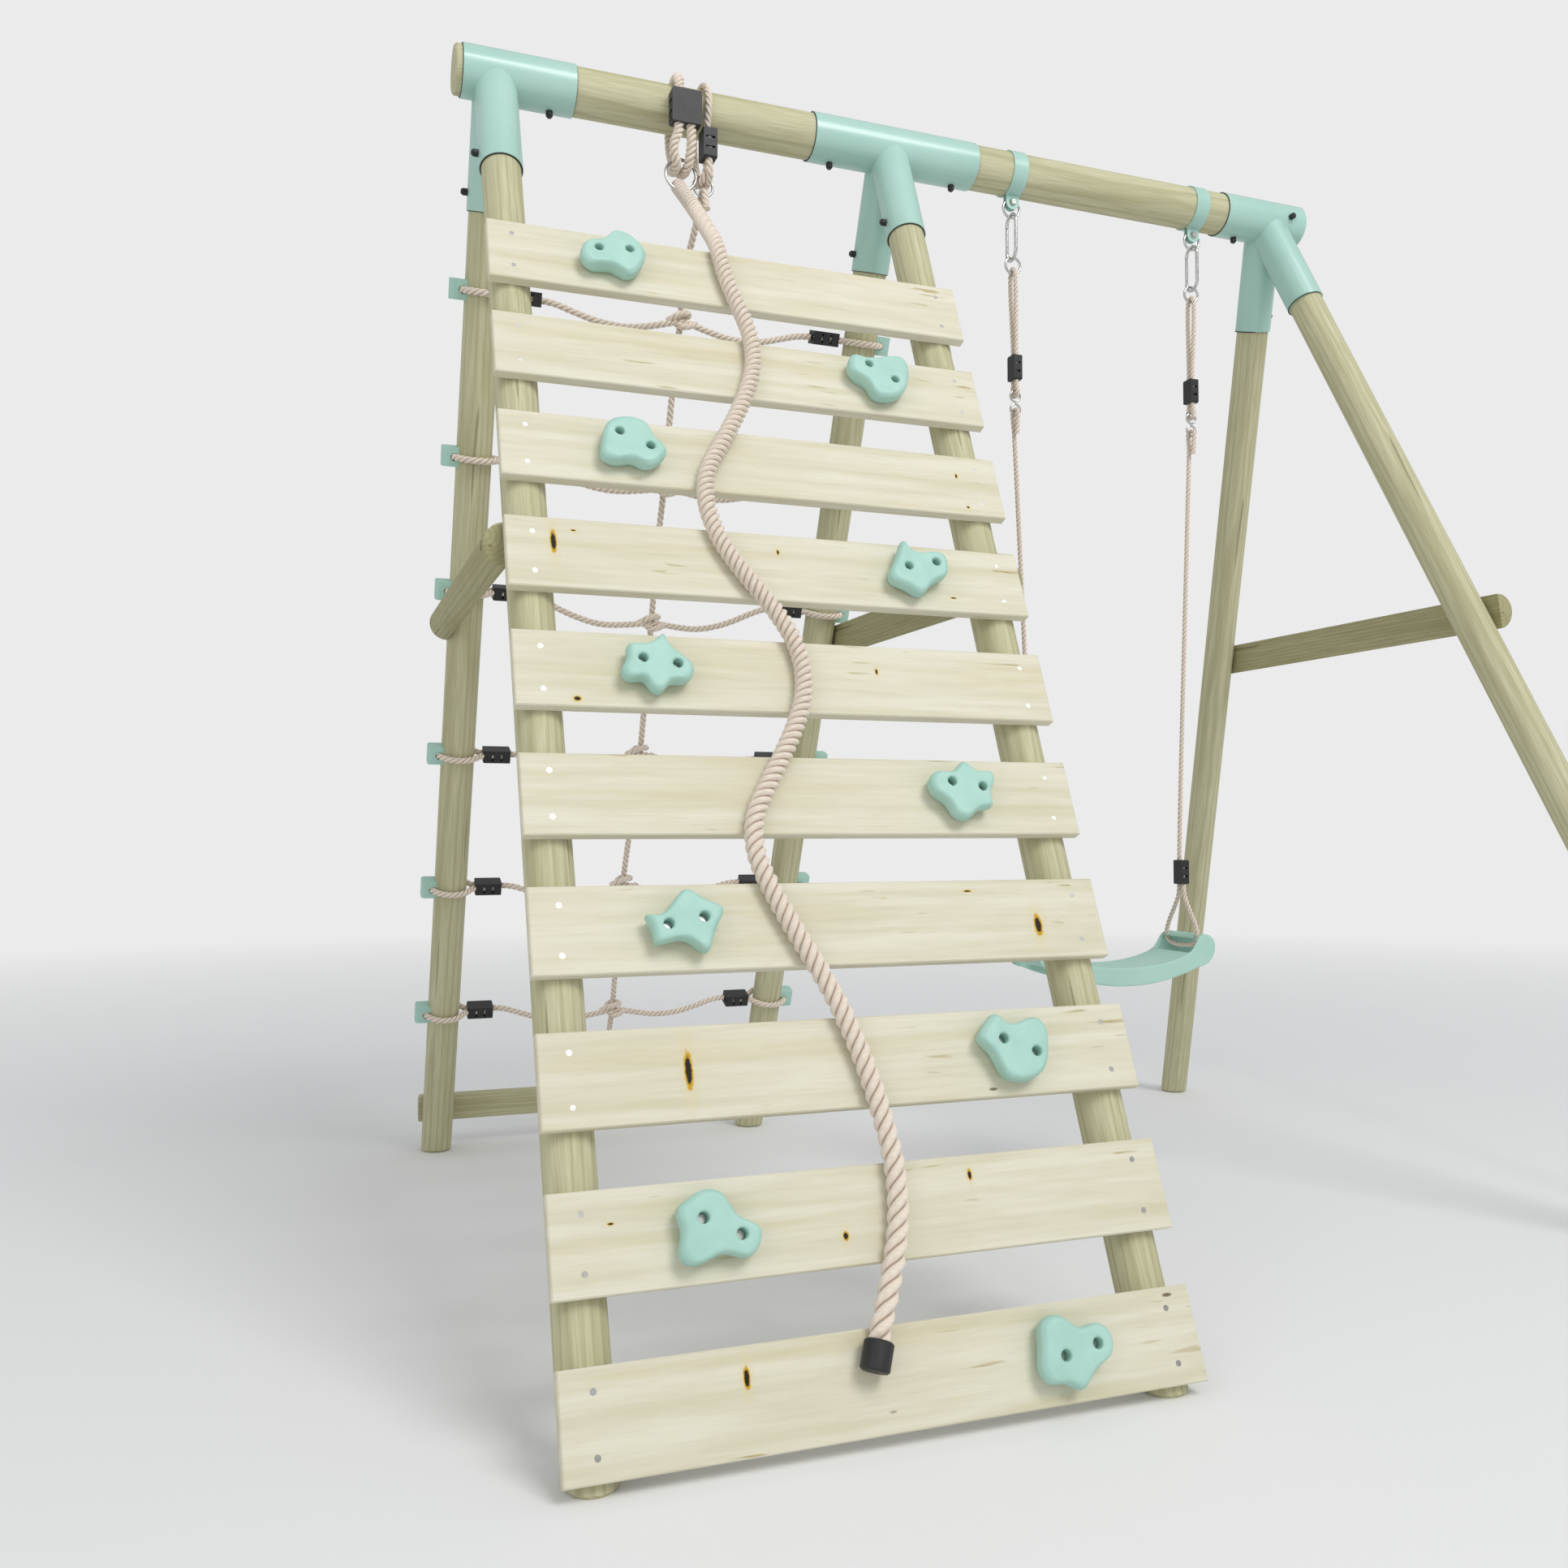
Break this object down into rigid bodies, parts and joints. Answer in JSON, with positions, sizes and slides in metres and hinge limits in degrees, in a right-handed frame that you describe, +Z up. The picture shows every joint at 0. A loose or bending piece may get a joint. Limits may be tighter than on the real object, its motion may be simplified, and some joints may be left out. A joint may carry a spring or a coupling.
{
  "type": "monkey bars",
  "caption": "Timber A-frame climbing set: slatted climbing wall with grips, knotted rope net behind it, hanging climbing rope, and a rope swing under the top beam.",
  "frame": {"origin": "on the ground, under the middle of the frame's whole footprint", "axes": "+X along the top beam towards the swing, +Y to the rope net's side, +Z up"},
  "size_m": [2.5416, 2.1611, 2.535],
  "materials": {
    "timber": "pressure-treated round pine, satin, fine lengthwise grain",
    "slat_timber": "planed pale pine with small dark knots",
    "mint_paint": "powder-coated steel, semi-gloss",
    "stone_mint": "moulded grips, satin",
    "mint_plastic": "moulded plastic, satin",
    "black_plastic": "moulded plastic, satin",
    "zinc_steel": "galvanised steel",
    "polished_steel": "bright steel",
    "rope_fibre": "three-strand beige rope, dull"
  },
  "bodies": {
    "frame": {"top_beam": "timber", "left_bracket": "mint_paint", "middle_bracket": "mint_paint", "right_bracket": "mint_paint", "left_front_leg": "timber", "left_rear_leg": "timber", "middle_front_leg": "timber", "middle_rear_leg": "timber", "right_front_leg": "timber", "right_rear_leg": "timber", "left_crossbar": "timber", "middle_crossbar": "timber", "right_crossbar": "timber", "rear_ground_bar": "timber", "climbing_stones_left": "stone_mint", "climbing_stones_right": "stone_mint", "wall_slat_01": "slat_timber", "wall_slat_02": "slat_timber", "wall_slat_03": "slat_timber", "wall_slat_04": "slat_timber", "wall_slat_05": "slat_timber", "wall_slat_06": "slat_timber", "wall_slat_07": "slat_timber", "wall_slat_08": "slat_timber", "wall_slat_09": "slat_timber", "wall_slat_10": "slat_timber", "slat_screws": "zinc_steel", "stone_bolts": "zinc_steel", "frame_bolts": "zinc_steel", "bolt_caps": "black_plastic", "rope_guides": "mint_plastic", "net_clamps": "black_plastic", "net_rope_1": "rope_fibre", "net_rope_2": "rope_fibre", "net_rope_3": "rope_fibre", "net_rope_4": "rope_fibre", "net_rope_5": "rope_fibre", "net_rope_6": "rope_fibre", "beam_loop_front": "rope_fibre", "beam_loop_rear": "rope_fibre", "loop_clamps": "black_plastic", "climbing_rope_ring": "polished_steel", "net_ring": "polished_steel", "net_vertical_rope": "rope_fibre", "swing_straps": "zinc_steel", "strap_bolts": "zinc_steel", "hanger_links": "polished_steel"},
    "swing": {"carabiners": "polished_steel", "swing_rings": "polished_steel", "swing_upper_rope_left": "rope_fibre", "swing_upper_rope_right": "rope_fibre", "swing_rope_clamps": "black_plastic", "figure_eight_hooks": "polished_steel", "swing_lower_rope_left": "rope_fibre", "swing_lower_rope_right": "rope_fibre", "swing_seat": "mint_plastic"},
    "gate_left": {"carabiner_gate_left": "polished_steel"},
    "gate_right": {"carabiner_gate_right": "polished_steel"},
    "climbing_rope": {"climbing_rope": "rope_fibre", "climbing_rope_cap": "black_plastic"}
  },
  "joints": [
    {"name": "swing_pivot", "type": "hinge", "parent": "frame", "child": "swing", "pos_m": [0.3095, 0.011, 2.3544], "axis": [1, 0, 0], "range_deg": [-45, 45]},
    {"name": "gate_left_hinge", "type": "hinge", "parent": "swing", "child": "gate_left", "pos_m": [0.048, 0.032, 2.2809], "axis": [1, 0, 0], "range_deg": [0, 20], "stiffness_Nm_per_rad": 0.1, "springref_deg": -28.65},
    {"name": "gate_right_hinge", "type": "hinge", "parent": "swing", "child": "gate_right", "pos_m": [0.571, 0.032, 2.2809], "axis": [1, 0, 0], "range_deg": [0, 20], "stiffness_Nm_per_rad": 0.1, "springref_deg": -28.65},
    {"name": "climbing_rope_swing", "type": "hinge", "parent": "frame", "child": "climbing_rope", "pos_m": [-0.7885, -0.019, 2.269], "axis": [-1, 0, 0], "range_deg": [0, 35]}
  ]
}
